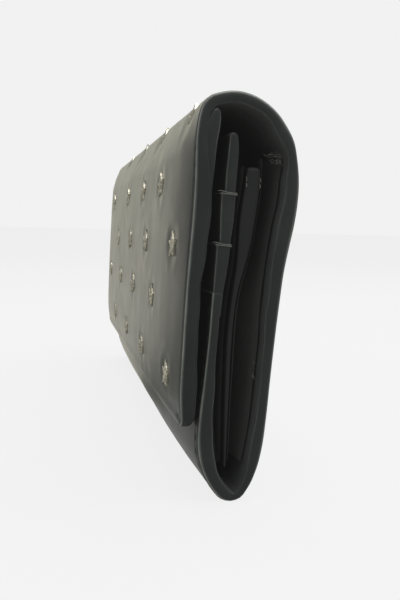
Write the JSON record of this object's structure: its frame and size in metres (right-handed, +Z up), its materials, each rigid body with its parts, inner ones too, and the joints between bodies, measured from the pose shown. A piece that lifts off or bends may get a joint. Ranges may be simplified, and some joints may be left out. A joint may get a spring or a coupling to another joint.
{
  "type": "chain wallet",
  "caption": "Long leather flap wallet with star studs, front card slots, accordion gussets, a zipped coin pocket and a ring for a chain.",
  "frame": {"origin": "middle of the flat under the bottom fold, on the surface that the wallet stands on", "axes": "+X along the wallet's length towards the end that shows the gussets, -Y out of the flap, +Z up"},
  "size_m": [0.2076, 0.0327, 0.0997],
  "materials": {
    "cover_leather": "semi-gloss black smooth leather",
    "lining_leather": "matt black lining leather",
    "gusset_leather": "soft matt black leather",
    "foam": "black padding felt",
    "thread": "black waxed thread",
    "zip_tape": "black woven zip tape",
    "stud_metal": "pale champagne-silver plated metal",
    "hardware": "polished pale metal"
  },
  "bodies": {
    "back": {"back_cover": "cover_leather", "back_lining": "lining_leather", "back_slot_upper": "cover_leather", "back_slot_lower": "cover_leather", "back_stitching": "thread", "bottom_fold": "cover_leather", "bottom_lining": "lining_leather", "ring_tab": "cover_leather"},
    "front": {"front_cover": "cover_leather", "front_panel": "cover_leather", "front_lining": "lining_leather", "slot_tier_upper": "cover_leather", "slot_tier_lower": "cover_leather", "slot_stitching": "thread", "snap_stud": "hardware", "snap_stud_rivet": "hardware"},
    "divider": {"coin_wall_front": "lining_leather", "coin_wall_back": "cover_leather", "coin_wall_hem": "cover_leather", "zip_tape_upper": "zip_tape", "zip_tape_lower": "zip_tape", "zip_teeth_upper": "hardware", "zip_teeth_lower": "hardware", "zip_stops": "hardware", "zip_end_tabs": "cover_leather", "gusset_front_left": "gusset_leather", "gusset_front_right": "gusset_leather", "gusset_back_left": "gusset_leather", "gusset_back_right": "gusset_leather"},
    "zip_slider": {"zip_slider": "hardware"},
    "zip_pull": {"zip_pull": "hardware"},
    "spine": {"spine_cover": "cover_leather", "spine_lining": "lining_leather", "spine_star_studs": "stud_metal"},
    "flap": {"flap_cover": "cover_leather", "flap_filler": "foam", "flap_lining": "lining_leather", "flap_star_studs": "stud_metal", "flap_stitching": "thread", "snap_socket": "hardware", "snap_socket_cap": "hardware"},
    "chain_ring": {"chain_ring": "hardware"}
  },
  "joints": [
    {"name": "spine_fold", "type": "hinge", "parent": "back", "child": "spine", "pos_m": [0, 0.0126, 0.089], "axis": [-1, 0, 0], "range_deg": [0, 90]},
    {"name": "flap_fold", "type": "hinge", "parent": "spine", "child": "flap", "pos_m": [0, -0.0099, 0.092], "axis": [-1, 0, 0], "range_deg": [0, 90]},
    {"name": "front_open", "type": "hinge", "parent": "back", "child": "front", "pos_m": [0, -0.0075, 0.009], "axis": [1, 0, 0], "range_deg": [0, 10.8]},
    {"name": "divider_open", "type": "hinge", "parent": "back", "child": "divider", "pos_m": [0, -0.0075, 0.009], "axis": [1, 0, 0], "range_deg": [0, 5.4]},
    {"name": "zip_slide", "type": "slide", "parent": "divider", "child": "zip_slider", "axis": [1, 0, 0], "range_m": [0, 0.138]},
    {"name": "zip_pull_swing", "type": "hinge", "parent": "zip_slider", "child": "zip_pull", "pos_m": [-0.069, 0.0035, 0.0715], "axis": [0, 0.994, -0.1094], "range_deg": [-60, 60]},
    {"name": "ring_swing", "type": "hinge", "parent": "back", "child": "chain_ring", "pos_m": [-0.0986, 0.01566, 0.071], "axis": [0, 0, 1], "range_deg": [-80, 80]}
  ],
  "couplings": [
    {"joint": "flap_fold", "follows": "spine_fold", "ratio": 1},
    {"joint": "front_open", "follows": "spine_fold", "ratio": 0.12},
    {"joint": "divider_open", "follows": "spine_fold", "ratio": 0.06}
  ]
}
